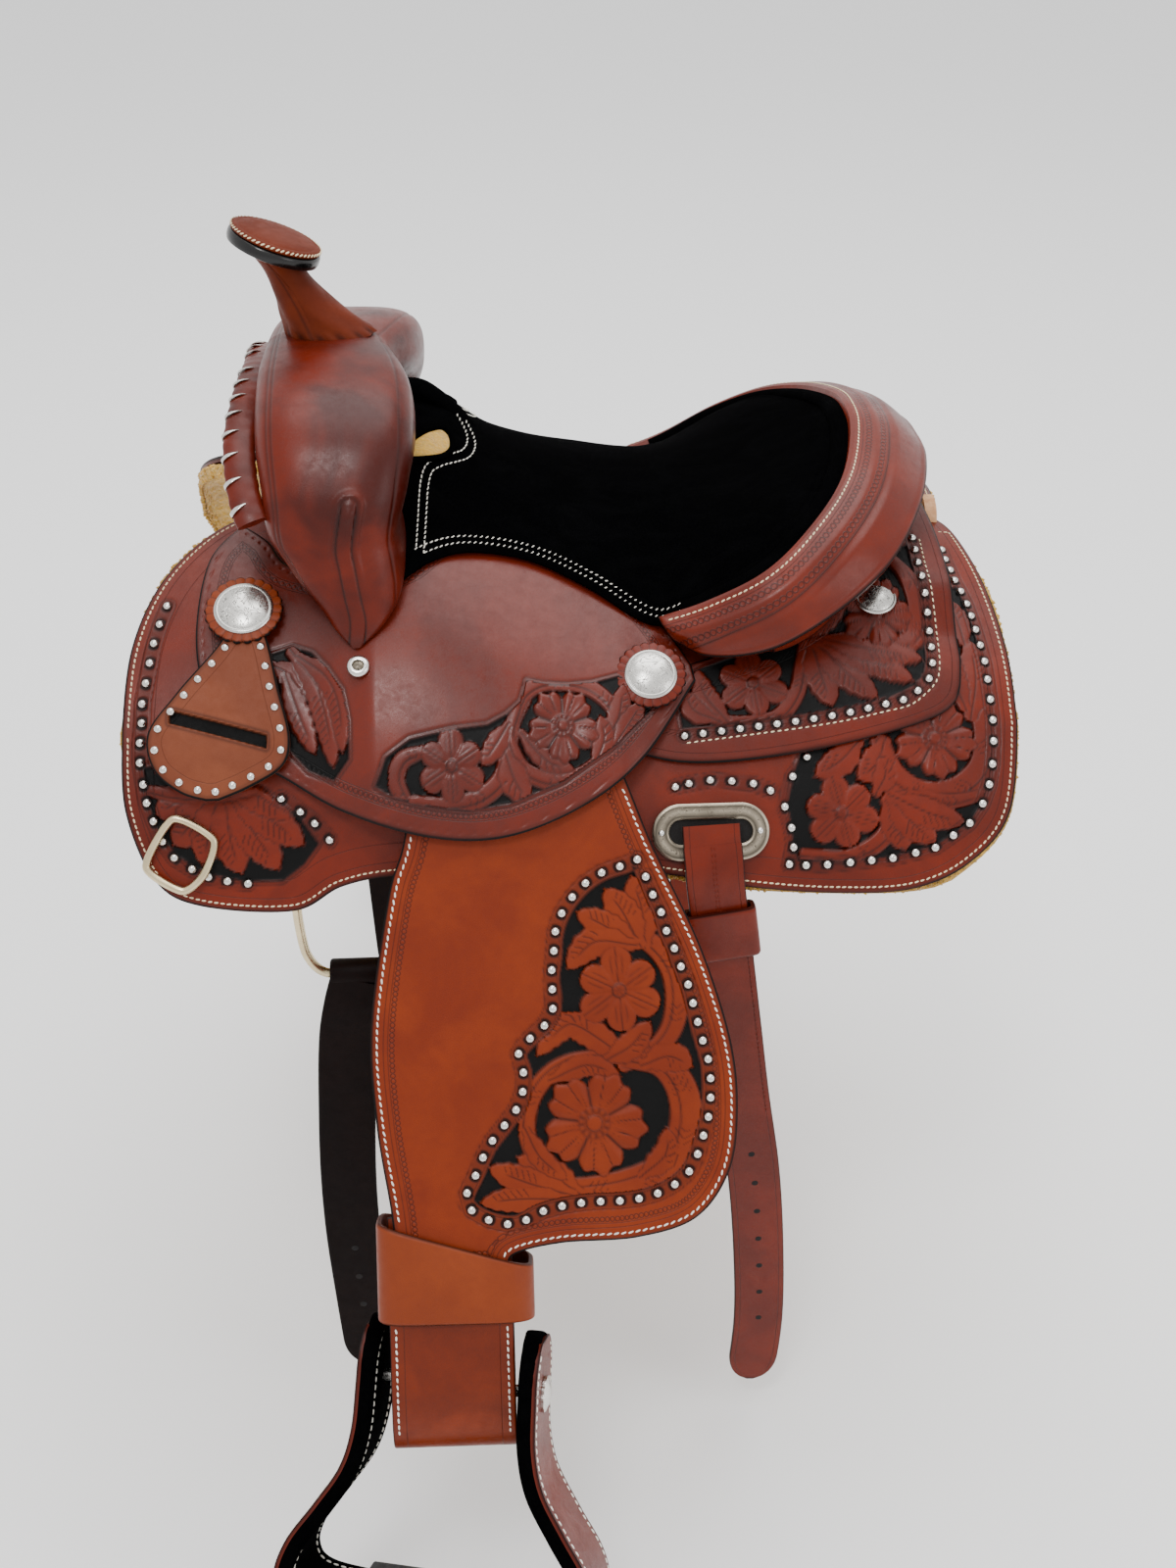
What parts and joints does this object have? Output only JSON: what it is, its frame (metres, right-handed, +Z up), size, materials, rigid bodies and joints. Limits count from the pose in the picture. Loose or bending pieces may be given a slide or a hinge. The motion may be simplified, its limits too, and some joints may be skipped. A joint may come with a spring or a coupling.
{
  "type": "western saddle",
  "caption": "Western saddle with a horn, swell fork, suede seat, rolled cantle, tooled jockeys, fleece lined skirts, rigging dees, fenders and bell stirrups that swing.",
  "frame": {"origin": "on the saddle's centre plane, level with the horse's back under the seat", "axes": "-X towards the horse's head, +Z up, -Y towards the near (left) side"},
  "size_m": [0.5892, 1.0892, 0.8443],
  "materials": {
    "russet_leather": "polished tooled leather, russet brown with black dyed edges",
    "tan_leather": "smooth skirting leather, semi-matt",
    "dark_leather": "oiled latigo leather, dark brown",
    "black_suede": "black suede, matt",
    "fleece": "cream sheepskin pile",
    "wood": "bare wood",
    "rawhide": "stiff natural leather",
    "silver": "engraved silver plate",
    "nickel": "nickel plated steel",
    "black_rubber": "black, satin",
    "pale_lace": "natural undyed lace leather"
  },
  "bodies": {
    "saddle": {"tree_fork": "wood", "tree_cantle": "wood", "horn_core": "nickel", "horn_rim": "black_rubber", "horn_cap": "russet_leather", "horn_wrap": "russet_leather", "swell_cover": "russet_leather", "gullet_binding": "russet_leather", "ground_seat": "rawhide", "seat_pad": "black_suede", "cantle_roll": "russet_leather", "cantle_back": "black_suede", "skirt_lacing": "pale_lace", "tree_bar_near": "wood", "tree_bar_far": "wood", "seat_jockey_near": "russet_leather", "seat_jockey_far": "russet_leather", "rear_jockey_near": "russet_leather", "rear_jockey_far": "russet_leather", "skirt_near": "russet_leather", "skirt_far": "russet_leather", "fleece_near": "fleece", "fleece_far": "fleece", "front_concho_near": "silver", "front_concho_far": "silver", "seat_concho_near": "silver", "seat_concho_far": "silver", "fork_screw_near": "silver", "fork_screw_far": "silver", "rear_plate_near": "silver", "rear_plate_far": "silver"},
    "fender_top_near": {"fender_hanger_near": "russet_leather"},
    "fender_near": {"fender_near": "russet_leather", "stirrup_leather_near": "russet_leather", "hobble_strap_near": "tan_leather"},
    "stirrup_neck_near": {"stirrup_loop_near": "russet_leather"},
    "stirrup_near": {"stirrup_near": "black_suede", "stirrup_bolt_near": "nickel", "tread_pad_near": "black_rubber"},
    "rigging_dee_near": {"rigging_dee_near": "nickel"},
    "latigo_near": {"latigo_near": "dark_leather"},
    "rear_billet_near": {"rear_billet_near": "russet_leather"},
    "billet_keeper_near": {"billet_keeper_near": "tan_leather"},
    "breast_dee_near": {"breast_dee_near": "nickel"},
    "latigo_keeper_near": {"latigo_keeper_near": "tan_leather"},
    "fender_top_far": {"fender_hanger_far": "russet_leather"},
    "fender_far": {"fender_far": "russet_leather", "stirrup_leather_far": "russet_leather", "hobble_strap_far": "tan_leather"},
    "stirrup_neck_far": {"stirrup_loop_far": "russet_leather"},
    "stirrup_far": {"stirrup_far": "black_suede", "stirrup_bolt_far": "nickel", "tread_pad_far": "black_rubber"},
    "rigging_dee_far": {"rigging_dee_far": "nickel"},
    "latigo_far": {"latigo_far": "dark_leather"},
    "rear_billet_far": {"rear_billet_far": "russet_leather"},
    "billet_keeper_far": {"billet_keeper_far": "tan_leather"},
    "breast_dee_far": {"breast_dee_far": "nickel"},
    "latigo_keeper_far": {"latigo_keeper_far": "tan_leather"}
  },
  "joints": [
    {"name": "fender_swing_near", "type": "hinge", "parent": "saddle", "child": "fender_top_near", "pos_m": [-0.075, -0.17115, -0.02505], "axis": [0, -0.8455, 0.5341], "range_deg": [-5, 4]},
    {"name": "fender_swing_far", "type": "hinge", "parent": "saddle", "child": "fender_top_far", "pos_m": [-0.075, 0.17115, -0.02505], "axis": [0, -0.8455, -0.5341], "range_deg": [-5, 4]},
    {"name": "fender_lift_near", "type": "hinge", "parent": "fender_top_near", "child": "fender_near", "pos_m": [-0.04, -0.25049, -0.11004], "axis": [-1, 0, 0], "range_deg": [0, 60]},
    {"name": "fender_lift_far", "type": "hinge", "parent": "fender_top_far", "child": "fender_far", "pos_m": [-0.04, 0.25049, -0.11004], "axis": [1, 0, 0], "range_deg": [0, 60]},
    {"name": "stirrup_turn_near", "type": "hinge", "parent": "fender_near", "child": "stirrup_neck_near", "pos_m": [-0.095, -0.39928, -0.38042], "axis": [0, 0.5341, 0.8455], "range_deg": [-10, 78]},
    {"name": "stirrup_turn_far", "type": "hinge", "parent": "fender_far", "child": "stirrup_neck_far", "pos_m": [-0.095, 0.39928, -0.38042], "axis": [0, 0.5341, -0.8455], "range_deg": [-10, 78]},
    {"name": "stirrup_tilt_near", "type": "hinge", "parent": "stirrup_neck_near", "child": "stirrup_near", "pos_m": [-0.095, -0.42118, -0.41509], "axis": [-0.9744, 0.2213, -0.039], "range_deg": [-30, 30]},
    {"name": "stirrup_tilt_far", "type": "hinge", "parent": "stirrup_neck_far", "child": "stirrup_far", "pos_m": [-0.095, 0.42118, -0.41509], "axis": [0.9744, 0.2213, 0.039], "range_deg": [-30, 30]},
    {"name": "rigging_dee_swing_near", "type": "hinge", "parent": "saddle", "child": "rigging_dee_near", "pos_m": [-0.15, -0.23659, -0.13687], "axis": [-1, 0, 0], "range_deg": [-10, 12]},
    {"name": "rigging_dee_swing_far", "type": "hinge", "parent": "saddle", "child": "rigging_dee_far", "pos_m": [-0.15, 0.23659, -0.13687], "axis": [1, 0, 0], "range_deg": [-10, 12]},
    {"name": "latigo_swing_near", "type": "hinge", "parent": "rigging_dee_near", "child": "latigo_near", "pos_m": [-0.153, -0.23659, -0.22287], "axis": [-1, 0, 0], "range_deg": [-15, 20]},
    {"name": "latigo_swing_far", "type": "hinge", "parent": "rigging_dee_far", "child": "latigo_far", "pos_m": [-0.153, 0.23659, -0.22287], "axis": [1, 0, 0], "range_deg": [-15, 20]},
    {"name": "rear_billet_lift_near", "type": "hinge", "parent": "saddle", "child": "rear_billet_near", "pos_m": [0.08, -0.24646, -0.12646], "axis": [-1, 0, 0], "range_deg": [0, 6]},
    {"name": "rear_billet_lift_far", "type": "hinge", "parent": "saddle", "child": "rear_billet_far", "pos_m": [0.08, 0.24646, -0.12646], "axis": [1, 0, 0], "range_deg": [0, 6]},
    {"name": "billet_keeper_slide_near", "type": "slide", "parent": "rear_billet_near", "child": "billet_keeper_near", "axis": [0.1414, 0, -0.9899], "range_m": [0, 0.04]},
    {"name": "billet_keeper_slide_far", "type": "slide", "parent": "rear_billet_far", "child": "billet_keeper_far", "axis": [0.1414, 0, -0.9899], "range_m": [0, 0.04]},
    {"name": "breast_dee_lift_near", "type": "hinge", "parent": "saddle", "child": "breast_dee_near", "pos_m": [-0.24, -0.24474, -0.12044], "axis": [0.3032, 0.4572, 0.8361], "range_deg": [0, 100]},
    {"name": "breast_dee_lift_far", "type": "hinge", "parent": "saddle", "child": "breast_dee_far", "pos_m": [-0.24, 0.24474, -0.12044], "axis": [-0.3032, 0.4572, -0.8361], "range_deg": [0, 100]},
    {"name": "latigo_keeper_turn_near", "type": "hinge", "parent": "saddle", "child": "latigo_keeper_near", "pos_m": [-0.217, -0.14969, 0.00655], "axis": [0, -0.5179, 0.8554], "range_deg": [-8, 8]},
    {"name": "latigo_keeper_turn_far", "type": "hinge", "parent": "saddle", "child": "latigo_keeper_far", "pos_m": [-0.217, 0.14969, 0.00655], "axis": [0, -0.5179, -0.8554], "range_deg": [-8, 8]}
  ]
}
